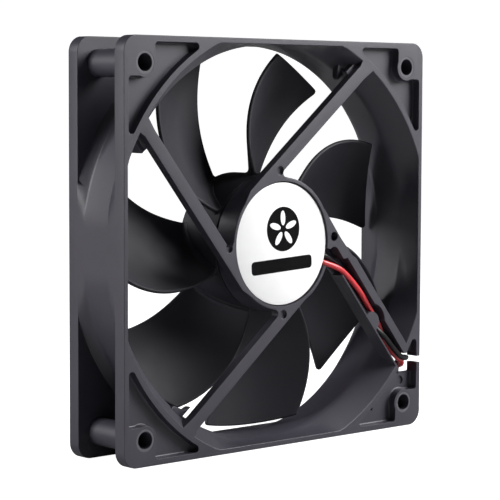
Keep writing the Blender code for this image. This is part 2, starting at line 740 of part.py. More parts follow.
def make_plug(material):
    """Two-way wire housing with two keys on its top, lying on the ground."""
    front, back = PLUG_MIDDLE - PLUG_WIDTH / 2, PLUG_MIDDLE + PLUG_WIDTH / 2
    key_heights = (GROUND + 4.5, GROUND + PLUG_HEIGHT)
    bm = bmesh.new()
    add_box(bm, (PLUG_FROM, PLUG_TO), (front, back), (GROUND + 0.03, GROUND + PLUG_HEIGHT - 0.9))
    plug = finish("connector_housing", bm, material)
    bm = bmesh.new()
    for depth in (front + 0.5, back - 1.3):
        add_box(bm, (PLUG_FROM + 0.3, PLUG_TO - 2.5), (depth, depth + 0.8), key_heights)
    add_box(bm, (PLUG_TO - 1.8, PLUG_TO - 0.3), (front + 0.3, back - 0.3), key_heights)
    combine(plug, "UNION", "plug_rib_join", [finish("plug_ribs", bm, None)])
    bm = bmesh.new()
    low, high = CONTACT_HEIGHT - CAVITY_HALF, CONTACT_HEIGHT + CAVITY_HALF
    for depth in cavity_depths():
        add_box(bm, (PLUG_FROM - 1, PLUG_TO + 1), (depth - CAVITY_HALF, depth + CAVITY_HALF), (low, high))
    combine(plug, "DIFFERENCE", "plug_cavity_cut", [finish("plug_cavities", bm, None)])


def make_terminals(material):
    """Crimp terminals inside the two cavities, open towards the mating pins."""
    outer, inner = 0.75, 0.45
    for name, depth in zip(("black_terminal", "red_terminal"), cavity_depths()):
        solids = []
        for part, half, across in (
            (name, outer, (PLUG_FROM + 0.4, PLUG_TO - 0.8)),
            (name + "_socket", inner, (PLUG_FROM - 1, PLUG_TO - 4.0)),
        ):
            bm = bmesh.new()
            add_box(bm, across, (depth - half, depth + half), (CONTACT_HEIGHT - half, CONTACT_HEIGHT + half))
            solids.append(finish(part, bm, material if half == outer else None))
        terminal, socket = solids
        combine(terminal, "DIFFERENCE", name + "_socket_cut", [socket])


def make_leads(red, black):
    for name, points, material in (
        ("red_lead", RED_ROUTE, red), ("black_lead", BLACK_ROUTE, black),
        ("red_lead_end", RED_END, red), ("black_lead_end", BLACK_END, black),
    ):
        tube(name, smooth_route(points, LEAD_STEP), LEAD_RADIUS, material)


def main():
    frame_plastic = make_material("frame_plastic", (0.085, 0.085, 0.095), 0.45)
    impeller_plastic = make_material("impeller_plastic", (0.045, 0.045, 0.055), 0.4)
    label_film = make_material("label_film", (0.9, 0.9, 0.9), 0.35)
    steel = make_material("steel", (0.6, 0.6, 0.62), 0.25, 1.0)
    yoke_steel = make_material("yoke_steel", (0.5, 0.5, 0.52), 0.4, 1.0)
    brass = make_material("brass", (0.72, 0.52, 0.25), 0.35, 1.0)
    copper = make_material("copper", (0.7, 0.3, 0.15), 0.35, 1.0)
    ferrite = make_material("ferrite", (0.06, 0.06, 0.06), 0.7)
    nylon = make_material("nylon", (0.75, 0.73, 0.66), 0.5)
    board_green = make_material("board_green", (0.05, 0.2, 0.09), 0.5)
    chip_black = make_material("chip_black", (0.02, 0.02, 0.02), 0.5)
    red_pvc = make_material("red_pvc", (0.62, 0.03, 0.03), 0.35)
    black_pvc = make_material("black_pvc", (0.02, 0.02, 0.022), 0.35)

    make_frame(frame_plastic)
    make_impeller(impeller_plastic)
    make_bearing_tube(brass)
    for place_name, middle in BEARING_MIDDLES.items():
        make_bearing(place_name, middle, steel, nylon)
    make_preload_spring(steel)
    make_shaft(steel)
    make_retaining_clip(steel)
    make_spacer(brass)
    make_stator_core(yoke_steel)
    make_insulator("front_insulator", STATOR_FRONT - 0.1, STATOR_FRONT - 1.1, STATOR_FRONT - 2.0, 9.4, nylon)
    make_insulator("rear_insulator", STATOR_BACK + 0.1, STATOR_BACK + 1.1, STATOR_BACK + 2.0, 0, nylon)
    make_windings(copper)
    make_circuit_board(board_green)
    make_winding_pins(steel)
    make_driver_chip(chip_black)
    make_capacitor(chip_black)
    make_rotor_yoke(yoke_steel)
    make_ring_magnet(ferrite)
    make_label(label_film)
    make_leads(red_pvc, black_pvc)
    make_coil(black_pvc)
    make_coil_tie(black_pvc)
    make_plug(nylon)
    make_terminals(brass)


clear_scene()
AXIS = make_axis()
main()
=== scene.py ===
"""Looks of the 120 mm case fan: fine surfaces, leads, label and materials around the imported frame.

Shapes are drawn about the fan axis as (x, depth, z) in millimetres, depth being measured backwards
from the front face, and become metres in the frame's own axes when their mesh is made.
"""
import json
import math

import bmesh
import bpy
import numpy as np
from mathutils import Matrix, Vector

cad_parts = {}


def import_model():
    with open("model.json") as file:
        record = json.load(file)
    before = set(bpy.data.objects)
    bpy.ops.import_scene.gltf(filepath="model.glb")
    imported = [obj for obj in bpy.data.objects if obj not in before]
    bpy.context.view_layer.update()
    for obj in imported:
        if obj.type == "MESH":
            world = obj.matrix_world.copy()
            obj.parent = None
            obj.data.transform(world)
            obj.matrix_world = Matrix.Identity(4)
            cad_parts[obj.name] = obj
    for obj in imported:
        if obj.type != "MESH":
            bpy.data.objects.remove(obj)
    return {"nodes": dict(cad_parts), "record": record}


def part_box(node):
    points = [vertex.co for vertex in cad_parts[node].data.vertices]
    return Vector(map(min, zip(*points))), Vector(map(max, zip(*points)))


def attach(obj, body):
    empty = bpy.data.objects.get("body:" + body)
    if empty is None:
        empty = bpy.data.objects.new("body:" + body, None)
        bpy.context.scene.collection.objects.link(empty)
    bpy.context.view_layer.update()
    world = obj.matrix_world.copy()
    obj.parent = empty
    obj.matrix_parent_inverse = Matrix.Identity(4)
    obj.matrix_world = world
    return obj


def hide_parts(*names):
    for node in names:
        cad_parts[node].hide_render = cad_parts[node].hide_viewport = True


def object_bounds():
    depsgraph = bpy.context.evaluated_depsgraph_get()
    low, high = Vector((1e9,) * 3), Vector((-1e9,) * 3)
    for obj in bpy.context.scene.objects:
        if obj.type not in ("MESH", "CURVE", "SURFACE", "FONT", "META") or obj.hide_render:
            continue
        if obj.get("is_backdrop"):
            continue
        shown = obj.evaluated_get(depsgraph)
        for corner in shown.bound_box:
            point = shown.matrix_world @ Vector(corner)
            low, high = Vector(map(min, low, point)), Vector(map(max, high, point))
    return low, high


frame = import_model()
cad_low, cad_high = (tuple(corner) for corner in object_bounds())

MM = 0.001
FRAME_LOW, FRAME_HIGH = (Vector(corner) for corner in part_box("frame"))
FRONT_CENTRE = Vector(((FRAME_LOW.x + FRAME_HIGH.x) / 2, FRAME_LOW.y, (FRAME_LOW.z + FRAME_HIGH.z) / 2))

# Frame
DEPTH = 25.0
HALF = 60.0
CORNER_RADIUS = 4.5
FLANGE = 4.2
HOLE_OFFSET = 52.5
HOLE_RADIUS = 2.4
PILLAR_RADIUS = 4.0
DUCT_FLAT = 58.4
THROAT_RADIUS = 58.3
BARREL_RADIUS = 60.6
MOUTH_RADIUS = 63.5
POCKET_DEPTH = 2.6
RIM_INNER = 58.25
RING_WALL = 65.3
# Softened edges of plates, of pocket mouths and of pocket floors
EDGE = 0.22
LIP = 0.08
FLOOR_FILLET = 0.55
# The flat ring around each front screw hole
SCREW_SEAT = 3.2
SEAT_DEPTH = 0.06

# Struts and motor base
STRUT_DEPTH = 3.1
CHANNEL_STRUT_DEPTH = 5.3
CHANNEL_FLOOR = 4.3
TAB_THICKNESS = 1.2
STRUT_REACH = 64.6
STRUT_FILLET = 1.2
# Distances from the axis of each plain strut's inner side, outer side and outer side at the flange
STRUT_OFFSETS = ((16.6, 20.65, 21.9), (16.7, 20.5, 21.6), (15.4, 19.2, 20.2))
FIRST_STRUT = math.radians(38.99)
# The ledge and the block at a strut's outer end: (depth, outward offset) and (along, beside the strut)
LEDGE_SPAN = (53.8, 59.3)
LEDGE_LEVELS = ((2.2, -0.15), (2.35, 0), (4.0, 0))
BLOCK_LEVELS = ((5.2, -0.15), (5.35, 0), (7.2, 0), (7.6, -0.3))
OUTER_BLOCK = ((52.2, -0.5), (52.2, 0.6), (55.0, 3.6), (57.0, 3.6), (58.0, -0.5))
INNER_BLOCK = ((53.2, 0.5), (55.4, -0.4), (57.6, -4.2), (59.6, -4.2), (59.8, 0.5))
INNER_BLOCK_STRUT = 2
QUARTER = math.pi / 2
BASE_RADIUS = 19.6
BASE_DEPTH = 6.9
LABEL_RECESS = 0.8
LABEL_RADIUS = 18.4
GROOVE_FLOOR = 1.6
PLATE_BACK = 2.2
COLLAR_BACK = 5.0
TUBE_RADIUS = 5.2
COLLAR_RADIUS = 6.7
DIMPLES = ((-1.2, 21.6), (-21.3, -0.4), (0.3, -21.0))
DIMPLE_RADIUS = 1.35
DEEP_DIMPLE = (21.3, 1.2, 1.4)
# The opening in the base's rim where the leads come out, before it is turned to their side
BASE_NOTCH = (15.6, 21.6, -2.7, 2.7)
NOTCH_TURN = math.radians(-15.0)

# Lower right corner: (x, z, radius, facets) of round marks, and (x from, to, z from, to) of openings
FLOOR_MARKS = ((53.4, -45.8, 1.5, 28), (40.5, -53.6, 0.8, 20))
LEAD_HOLE = (51.7, DUCT_FLAT, -43.35, -37.0)
LEAD_SLOT = (57.5, 62.0, -40.4, -38.4)

# Impeller
BLADES = 7
HUB_RADIUS = 20.5
HUB_FRONT = 7.4
HUB_BACK = 24.0
HUB_WALL = 1.6
HUB_TOP = 1.5
HUB_ROUND = 1.8
BOSS_RADIUS = 3.5
BOSS_FRONT = 19.4
SHAFT_HOLE_RADIUS = 1.52
SHAFT_HOLE_BACK = 22.35
TIP_RADIUS = 56.65
BLADE_ROOT = 19.6
BLADE_CURVES_FROM = 20.0
BLADE_THICKNESS = 1.15
ROOT_FILLET = 1.3
TIP_ROUND = 1.8
BLADE_EDGE = 0.28

# Label: depths of the disc and its printed layers, and a badge of leaves over a plain bar
LABEL_FRONT = 0.6
LABEL_BACK = 0.75
LEAVES_FRONT = 0.56
PRINT_FRONT = 0.575
PRINT_BACK = 0.61
LABEL_TURN = math.radians(3)
BADGE_CENTRE = (0.8, 4.3)
BADGE_RADIUS = 6.6
LEAVES = 5
BAR = (-12.4, 12.0, -8.3, -4.3)
BAR_CORNER = 1.3

# Leads and plug
LEAD_RADIUS = 0.85
LEAD_STEP = 0.8
GROUND = -HALF
COIL_CENTRE = (73.0, 32.0)
COIL_TRACKS = (6.4, 8.15, 9.9, 11.65)
COIL_LAYERS = (GROUND + 1.32, GROUND + 3.03)
COIL_INNER = 5.5
COIL_OUTER = 12.5
# Degrees around the coil: its ends, the moves inwards, outwards and across a track, and the climbs
COIL_ENTRY, COIL_EXIT = -80, 1230
INWARD = (170, 230)
OUTWARD = (950, 1010)
CROSS = (552, 588)
INNER_CLIMB = (505, 548)
OUTER_CLIMB = (588, 625)
PLUG_FROM = 47.0
PLUG_TO = 56.8
PLUG_MIDDLE = 29.7
PLUG_WIDTH = 7.4
PLUG_HEIGHT = 5.75
PLUG_PITCH = 2.5
PLUG_ARM = GROUND + 4.5
KEY_WIDTH = 0.8
CAVITY_HALF = 0.95

# Studio: each softbox has an azimuth, a height above level, a distance, its sides and a power
WORLD_LIGHT = 0.028
FLOOR_GLOW = 1.0
SOFTBOXES = (
    ("key", 50, 31, 0.6, (0.35, 0.35), 6.4),
    ("left", -114, 20, 0.7, (0.35, 0.4), 4.6),
    ("above", 20, 80, 0.9, (0.5, 0.5), 0.8),
)

# Facets around a turn
DUCT_STEPS = 192
HUB_STEPS = 160

# Edges sharper than this many degrees show as edges, on a plain solid and on one with chamfers
SHARP_ANGLE = 40
CORNER_ANGLE = 50

# Routes of the leads to the coil, their last points before its first turn, and their ends in the plug
RED_ROUTE = [
    (15.6, 3.4, -5.5), (17.9, 2.0, -6.4), (20.2, 1.5, -7.2), (22.6, 1.2, -8.0),
    (25.6, 1.05, -9.4), (29.2, 1.05, -12.2), (33.5, 1.3, -16.1), (37.1, 1.9, -19.8),
    (40.2, 2.35, -23.4), (42.9, 2.4, -26.9), (44.9, 2.9, -29.8), (46.4, 3.15, -32.3),
    (48.4, 3.25, -34.6), (50.4, 3.3, -36.6), (52.9, 3.45, -38.6), (55.2, 3.7, -40.2),
    (56.3, 4.9, -41.3), (56.9, 7.0, -42.0), (58.2, 9.6, -44.0), (60.2, 12.4, -48.0),
    (61.9, 15.2, -52.6), (63.6, 18.0, -56.6), (65.6, 20.2, -58.7),
]
BLACK_ROUTE = [
    (16.2, 3.4, -3.2), (18.4, 2.6, -4.2), (20.8, 2.5, -5.2), (23.6, 2.8, -6.4),
    (26.6, 3.05, -8.5), (29.4, 3.15, -11.6), (32.0, 3.15, -15.5), (34.8, 3.05, -19.6),
    (37.9, 2.9, -23.6), (41.0, 2.35, -27.5), (43.1, 1.45, -29.8), (45.2, 1.2, -31.6),
    (48.2, 1.2, -34.5), (51.0, 1.35, -37.0), (52.5, 1.45, -38.05), (54.0, 1.6, -38.7),
    (56.3, 2.6, -38.9), (57.4, 4.6, -39.1), (57.8, 7.0, -39.7), (59.4, 9.6, -42.0),
    (61.9, 12.2, -46.2), (63.8, 14.6, -51.4), (65.4, 16.8, -56.0), (67.6, 18.6, -58.6),
]
RED_WIND = [(68.6, 21.6, -58.85)]
BLACK_WIND = [(70.2, 19.7, -58.8)]
RED_END = [(61.3, 34.3, -57.0), (60.0, 32.4, -57.05), (58.6, 31.2, -57.1), (57.15, 30.95, -57.1),
           (56.2, 30.95, -57.1)]
BLACK_END = [(62.9, 33.6, -57.0), (61.9, 31.2, -57.0), (60.6, 29.5, -57.05), (58.9, 28.6, -57.1),
             (57.15, 28.45, -57.1), (56.2, 28.45, -57.1)]


# --- camera ---------------------------------------------------------------------------------

CAMERA_AZIMUTH = math.radians(-42.44)
CAMERA_ELEVATION = math.radians(4.455)
CAMERA_ROLL = math.radians(0.212)
CAMERA_DISTANCE = 570.3
CAMERA_RIGHT = -9.785
CAMERA_UP = -1.812
CAMERA_LENS = 139.3


def make_camera():
    """A long lens that looks from the left and a little above at the front of the fan."""
    back = Vector((
        math.sin(CAMERA_AZIMUTH) * math.cos(CAMERA_ELEVATION),
        -math.cos(CAMERA_AZIMUTH) * math.cos(CAMERA_ELEVATION),
        math.sin(CAMERA_ELEVATION),
    ))
    level = Vector((0, 0, 1)).cross(back).normalized()
    upright = back.cross(level)
    right = level * math.cos(CAMERA_ROLL) + upright * math.sin(CAMERA_ROLL)
    up = upright * math.cos(CAMERA_ROLL) - level * math.sin(CAMERA_ROLL)
    camera = bpy.data.objects.new("camera", bpy.data.cameras.new("camera"))
    bpy.context.scene.collection.objects.link(camera)
    camera.data.lens = CAMERA_LENS
    camera.data.clip_start = 0.01
    place = (right * CAMERA_RIGHT + up * CAMERA_UP + back * CAMERA_DISTANCE) * MM
    rotation = Matrix((right, up, back)).transposed()
    camera.matrix_world = Matrix.Translation(FRONT_CENTRE + place) @ rotation.to_4x4()
    bpy.context.scene.camera = camera


# --- mesh helpers ---------------------------------------------------------------------------

def world(point):
    return FRONT_CENTRE + Vector(point) * MM


def add_object(name, data, material=None):
    obj = bpy.data.objects.new(name, data)
    bpy.context.scene.collection.objects.link(obj)
    if material:
        data.materials.append(material)
    return obj


def finish_mesh(name, bm, material=None):
    """Turn a bmesh drawn in millimetres about the fan axis into a placed object."""
    bmesh.ops.remove_doubles(bm, verts=bm.verts, dist=0.0005)
    bmesh.ops.recalc_face_normals(bm, faces=bm.faces)
    mesh = bpy.data.meshes.new(name)
    bm.to_mesh(mesh)
    bm.free()
    mesh.transform(Matrix.Translation(FRONT_CENTRE) @ Matrix.Scale(MM, 4))
    mesh.shade_smooth()
    mesh.set_sharp_from_angle(angle=math.radians(SHARP_ANGLE))
    return add_object(name, mesh, material)


def turned(name, profile, material=None, steps=HUB_STEPS, flat=None):
    """A solid turned about the fan axis; flat gives how far it may reach at each depth."""
    bm = bmesh.new()
    verts = [bm.verts.new((radius, depth, 0)) for radius, depth in profile]
    edges = [bm.edges.new(pair) for pair in zip(verts, verts[1:])]
    if profile[0][0] > 0 or profile[-1][0] > 0:
        edges.append(bm.edges.new((verts[-1], verts[0])))
    bmesh.ops.spin(bm, geom=verts + edges, cent=(0, 0, 0), axis=(0, 1, 0), angle=2 * math.pi,
                   steps=steps, use_merge=True)
    if flat:
        for vert in bm.verts:
            limit = flat(vert.co.y)
            vert.co.x = max(-limit, min(limit, vert.co.x))
            vert.co.z = max(-limit, min(limit, vert.co.z))
    return finish_mesh(name, bm, material)


def arc(centre, radius, start, end, steps):
    angles = np.radians(np.linspace(start, end, steps + 1))
    return [(centre[0] + radius * math.cos(a), centre[1] + radius * math.sin(a)) for a in angles]


def turn_outline(outline, angle):
    cos, sin = math.cos(angle), math.sin(angle)
    return [(x * cos - z * sin, x * sin + z * cos) for x, z in outline]


def circle(x, z, radius, steps=32):
    return arc((x, z), radius, 0, 360, steps)[:-1]


def box_outline(x_from, x_to, z_from, z_to):
    return [(x_from, z_from), (x_to, z_from), (x_to, z_to), (x_from, z_to)]


def rounded(outline, radius, steps=4):
    """The outline with each corner replaced by a short curve."""
    result = []
    count = len(outline)
    for i in range(count):
        corner = Vector(outline[i])
        before = Vector(outline[i - 1]) - corner
        after = Vector(outline[(i + 1) % count]) - corner
        reach = min(radius, before.length * 0.45, after.length * 0.45)
        start = corner + before.normalized() * reach
        end = corner + after.normalized() * reach
        for t in np.linspace(0, 1, steps + 1):
            point = start * (1 - t) ** 2 + corner * 2 * t * (1 - t) + end * t ** 2
            result.append((point.x, point.y))
    return result


def offset_outline(outline, distance):
    """The closed outline moved outwards by a distance, or inwards where it is negative."""
    area = sum(a[0] * b[1] - b[0] * a[1] for a, b in zip(outline, outline[1:] + outline[:1]))
    turn = 1 if area > 0 else -1
    result = []
    count = len(outline)
    for i in range(count):
        here = Vector(outline[i])
        into = (here - Vector(outline[i - 1])).normalized()
        out = (Vector(outline[(i + 1) % count]) - here).normalized()
        normal_in = Vector((into.y, -into.x)) * turn
        normal_out = Vector((out.y, -out.x)) * turn
        mitre = normal_in + normal_out
        scale = 2 * distance / max(mitre.length_squared, 1.0)
        result.append((here.x + mitre.x * scale, here.y + mitre.y * scale))
    return result


def join_rings(bm, rings):
    """Bands of faces between rings of as many points each."""
    for near, far in zip(rings, rings[1:]):
        for i in range(len(near)):
            j = (i + 1) % len(near)
            bm.faces.new((near[i], near[j], far[j], far[i]))


def add_loft(bm, outline, levels, place):
    """A closed solid through copies of an outline; levels are (level, outward offset)."""
    rings = []
    for level, grow in levels:
        ring = offset_outline(outline, grow) if grow else outline
        rings.append([bm.verts.new(place(a, b, level)) for a, b in ring])
    bm.faces.new(rings[0])
    bm.faces.new(rings[-1])
    join_rings(bm, rings)


def loft(name, outlines, levels, material=None):
    """Solids with outlines in (x, z) and levels of depth."""
    bm = bmesh.new()
    for outline in outlines:
        add_loft(bm, outline, levels, lambda x, z, depth: (x, depth, z))
    return finish_mesh(name, bm, material)


def apply_modifiers(obj):
    depsgraph = bpy.context.evaluated_depsgraph_get()
    mesh = bpy.data.meshes.new_from_object(obj.evaluated_get(depsgraph))
    old = obj.data
    obj.modifiers.clear()
    obj.data = mesh
    bpy.data.meshes.remove(old)


def combine(obj, operation, others):
    """Join solids to an object, or cut them from it, and delete them."""
    group = bpy.data.collections.new("operands")
    bpy.context.scene.collection.children.link(group)
    for other in others:
        bpy.context.scene.collection.objects.unlink(other)
        group.objects.link(other)
    modifier = obj.modifiers.new("join", "BOOLEAN")
    modifier.operation = operation
    modifier.solver = "EXACT"
    modifier.operand_type = "COLLECTION"
    modifier.collection = group
    apply_modifiers(obj)
    for other in others:
        mesh = other.data
        bpy.data.objects.remove(other)
        bpy.data.meshes.remove(mesh)
    bpy.data.collections.remove(group)


def smooth_edges(obj):
    """Shade small chamfers as rounded edges and keep real corners sharp."""
    obj.data.shade_smooth()
    obj.data.set_sharp_from_angle(angle=math.radians(CORNER_ANGLE))
    modifier = obj.modifiers.new("weighted_normals", "WEIGHTED_NORMAL")
    modifier.keep_sharp = True
    modifier.weight = 80
    apply_modifiers(obj)


# --- materials ------------------------------------------------------------------------------

class Shader:
    """A Principled material with its surface built from noise in the piece's own coordinates."""

    def __init__(self, name, roughness, metallic=0.0, specular=0.5):
        self.material = bpy.data.materials.new(name)
        self.material.use_nodes = True
        self.tree = self.material.node_tree
        self.surface = self.tree.nodes["Principled BSDF"]
        self.surface.inputs["Roughness"].default_value = roughness
        self.surface.inputs["Metallic"].default_value = metallic
        self.surface.inputs["Specular IOR Level"].default_value = specular
        self.place = self.tree.nodes.new("ShaderNodeTexCoord").outputs["Object"]

    def node(self, kind, **values):
        made = self.tree.nodes.new(kind)
        for name, value in values.items():
            made.inputs[name].default_value = value
        return made

    def link(self, out, into):
        self.tree.links.new(out, into)

    def noise(self, scale, detail=3.0, roughness=0.5):
        made = self.node("ShaderNodeTexNoise", Scale=scale, Detail=detail, Roughness=roughness)
        self.link(self.place, made.inputs["Vector"])
        return made.outputs["Fac"]

    def ramp(self, factor, low, high):
        """A colour that blends from low to high over the middle of the factor's range."""
        made = self.node("ShaderNodeValToRGB")
        made.color_ramp.elements[0].position = 0.3
        made.color_ramp.elements[0].color = (*low, 1)
        made.color_ramp.elements[1].position = 0.7
        made.color_ramp.elements[1].color = (*high, 1)
        self.link(factor, made.inputs["Fac"])
        return made.outputs["Color"]

    def spread(self, factor, low, high):
        """A number between low and high."""
        made = self.node("ShaderNodeMapRange")
        made.inputs["To Min"].default_value = low
        made.inputs["To Max"].default_value = high
        self.link(factor, made.inputs["Value"])
        return made.outputs["Result"]

    def bump(self, height, distance):
        made = self.node("ShaderNodeBump", Strength=1.0, Distance=distance)
        self.link(height, made.inputs["Height"])
        self.link(made.outputs["Normal"], self.surface.inputs["Normal"])


def moulded_plastic(name, dark, light, roughness, grain, grain_height, specular=0.5):
    """Injection-moulded plastic: spark-eroded grain, faint flow marks and uneven gloss."""
    shader = Shader(name, roughness, specular=specular)
    flow = shader.noise(45.0, 4.0, 0.55)
    shader.link(shader.ramp(flow, dark, light), shader.surface.inputs["Base Color"])
    gloss = shader.noise(260.0, 2.0)
    shader.link(shader.spread(gloss, roughness - 0.05, roughness + 0.06), shader.surface.inputs["Roughness"])
    shader.bump(shader.noise(grain, 3.0, 0.6), grain_height)
    return shader.material


def wire_insulation(name, dark, light, specular=0.5, coat=0.25):
    """Extruded PVC: even colour with slight dusty patches and fine draw marks."""
    shader = Shader(name, 0.3, specular=specular)
    shader.link(shader.ramp(shader.noise(300.0), dark, light), shader.surface.inputs["Base Color"])
    shader.link(shader.spread(shader.noise(700.0), 0.24, 0.4), shader.surface.inputs["Roughness"])
    shader.bump(shader.noise(1500.0, 2.0), 0.00001)
    shader.surface.inputs["Coat Weight"].default_value = coat
    shader.surface.inputs["Coat Roughness"].default_value = 0.15
    return shader.material


def machined_metal(name, dark, light, roughness, scale=900.0):
    shader = Shader(name, roughness, metallic=1.0)
    shader.link(shader.ramp(shader.noise(scale * 0.3), dark, light), shader.surface.inputs["Base Color"])
    shader.link(shader.spread(shader.noise(scale), roughness - 0.06, roughness + 0.1),
                shader.surface.inputs["Roughness"])
    shader.bump(shader.noise(scale * 2, 2.0), 0.000008)
    return shader.material


def printed_film(name, dark, light, roughness, specular=0.45):
    """Smooth label film with a very slight orange-peel surface."""
    shader = Shader(name, roughness, specular=specular)
    shader.link(shader.ramp(shader.noise(150.0), dark, light), shader.surface.inputs["Base Color"])
    shader.bump(shader.noise(500.0, 2.0), 0.000006)
    return shader.material


def make_materials():
    return {
        "frame_plastic": moulded_plastic("frame_moulding", (0.033, 0.0308, 0.042), (0.043, 0.0402, 0.054),
                                         0.46, 2600.0, 0.00003),
        # Screw seat rings: frame plastic painted lighter as a painted highlight, with lower roughness for a
        # smoother surface
        "seat_highlight_plastic": moulded_plastic("frame_seat_highlight", (0.075, 0.073, 0.084), (0.11, 0.108, 0.12),
                                          0.34, 2200.0, 0.00001),
        "impeller_plastic": moulded_plastic("impeller_moulding", (0.0155, 0.015, 0.0205),
                                            (0.0205, 0.020, 0.0265), 0.56, 1800.0, 0.00001, 0.3),
        "label_film": printed_film("label_white", (0.93, 0.93, 0.93), (0.96, 0.96, 0.96), 0.35),
        "label_ink": printed_film("label_black", (0.004, 0.004, 0.0045), (0.006, 0.006, 0.0065), 0.5, 0.03),
        "steel": machined_metal("ground_steel", (0.55, 0.55, 0.57), (0.68, 0.68, 0.7), 0.22),
        "yoke_steel": machined_metal("plated_steel", (0.42, 0.42, 0.45), (0.55, 0.55, 0.57), 0.38),
        "brass": machined_metal("turned_brass", (0.62, 0.44, 0.2), (0.76, 0.57, 0.3), 0.3),
        "copper": machined_metal("winding_copper", (0.55, 0.2, 0.08), (0.75, 0.34, 0.17), 0.3, 2500.0),
        "ferrite": moulded_plastic("bonded_ferrite", (0.04, 0.04, 0.042), (0.07, 0.07, 0.072),
                                   0.6, 3000.0, 0.00003),
        "nylon": moulded_plastic("natural_nylon", (0.70, 0.67, 0.58), (0.80, 0.78, 0.70),
                                 0.42, 2200.0, 0.00001),
        "board_green": moulded_plastic("solder_mask", (0.015, 0.10, 0.035), (0.03, 0.16, 0.06),
                                       0.35, 1200.0, 0.00001),
        "chip_black": moulded_plastic("epoxy_black", (0.015, 0.015, 0.016), (0.03, 0.03, 0.032),
                                      0.5, 3000.0, 0.00002),
        "red_pvc": wire_insulation("red_insulation", (0.60, 0.026, 0.034), (0.71, 0.041, 0.05)),
        "black_pvc": wire_insulation("black_insulation", (0.005, 0.005, 0.006),
                                     (0.010, 0.010, 0.012), 0.28, 0.08),
    }


# --- leads ----------------------------------------------------------------------------------

def smooth_route(points, step):
    """Evenly spaced points on a smooth curve through the given ones."""
    knots = [Vector(p) for p in points]
    knots = [2 * knots[0] - knots[1]] + knots + [2 * knots[-1] - knots[-2]]
    fine = []
    for a, b, c, d in zip(knots, knots[1:], knots[2:], knots[3:]):
        for t in np.linspace(0, 1, 12, endpoint=False):
            bend = 2 * a - 5 * b + 4 * c - d
            twist = 3 * b - a - 3 * c + d
            fine.append(b + 0.5 * ((c - a) * t + bend * t ** 2 + twist * t ** 3))
    fine.append(knots[-2])
    lengths = np.cumsum([0] + [(q - p).length for p, q in zip(fine, fine[1:])])
    places = np.linspace(0, lengths[-1], max(2, round(lengths[-1] / step)) + 1)
    columns = [np.interp(places, lengths, [p[k] for p in fine]) for k in range(3)]
    return list(zip(*columns))


def ease(value, start, end):
    """0 before start, 1 after end and a smooth step between them."""
    t = min(1.0, max(0.0, (value - start) / (end - start)))
    return t * t * (3 - 2 * t)


def coil_points(outer_lead):
    """Turns of one lead, seen from above: two tracks in, up a layer, and two tracks out."""
    inner_a, inner_b, outer_a, outer_b = COIL_TRACKS
    if outer_lead:
        start, low, high, end, climb = outer_b, inner_b, inner_a, outer_a, OUTER_CLIMB
    else:
        start, low, high, end, climb = outer_a, inner_a, inner_b, outer_b, INNER_CLIMB
    bottom, top = COIL_LAYERS
    points = []
    for angle in range(COIL_ENTRY, COIL_EXIT + 1, 10):
        radius = start + (low - start) * ease(angle, *INWARD)
        radius += (high - low) * ease(angle, *CROSS)
        radius += (end - high) * ease(angle, *OUTWARD)
        height = bottom + (top - bottom) * ease(angle, *climb)
        turn = math.radians(angle)
        x = COIL_CENTRE[0] + radius * math.cos(turn)
        depth = COIL_CENTRE[1] + radius * math.sin(turn)
        points.append((x, depth, height))
    return points


def make_lead(name, route, outer_lead, end, material):
    points = smooth_route(route + coil_points(outer_lead) + end, LEAD_STEP)
    curve = bpy.data.curves.new(name, "CURVE")
    curve.dimensions = "3D"
    curve.bevel_depth = LEAD_RADIUS * MM
    curve.bevel_resolution = 5
    curve.use_fill_caps = True
    curve.resolution_u = 1
    curve.render_resolution_u = 0
    spline = curve.splines.new("POLY")
    spline.points.add(len(points) - 1)
    for point, place in zip(spline.points, points):
        point.co = (*world(place), 1.0)
    spline.use_smooth = True
    return add_object(name, curve, material)


def make_leads(materials):
    red = make_lead("red_wire", RED_ROUTE + RED_WIND, False, RED_END, materials["red_pvc"])
    black = make_lead("black_wire", BLACK_ROUTE + BLACK_WIND, True, BLACK_END, materials["black_pvc"])
    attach(red, "housing")
    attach(black, "housing")
    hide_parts("red_lead", "red_lead_end", "lead_coil")
    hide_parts("black_lead", "black_lead_end", "lead_coil")
    return red, black


# --- plug and tie ---------------------------------------------------------------------------

def side_solid(name, outlines, x_from, x_to, material=None, edge=0.15):
    """Solids along X with outlines in (depth, z) and softened ends."""
    levels = [(x_from, -edge), (x_from + edge, 0), (x_to - edge, 0), (x_to, -edge)]
    bm = bmesh.new()
    for outline in outlines:
        add_loft(bm, outline, levels, lambda depth, z, x: (x, depth, z))
    return finish_mesh(name, bm, material)


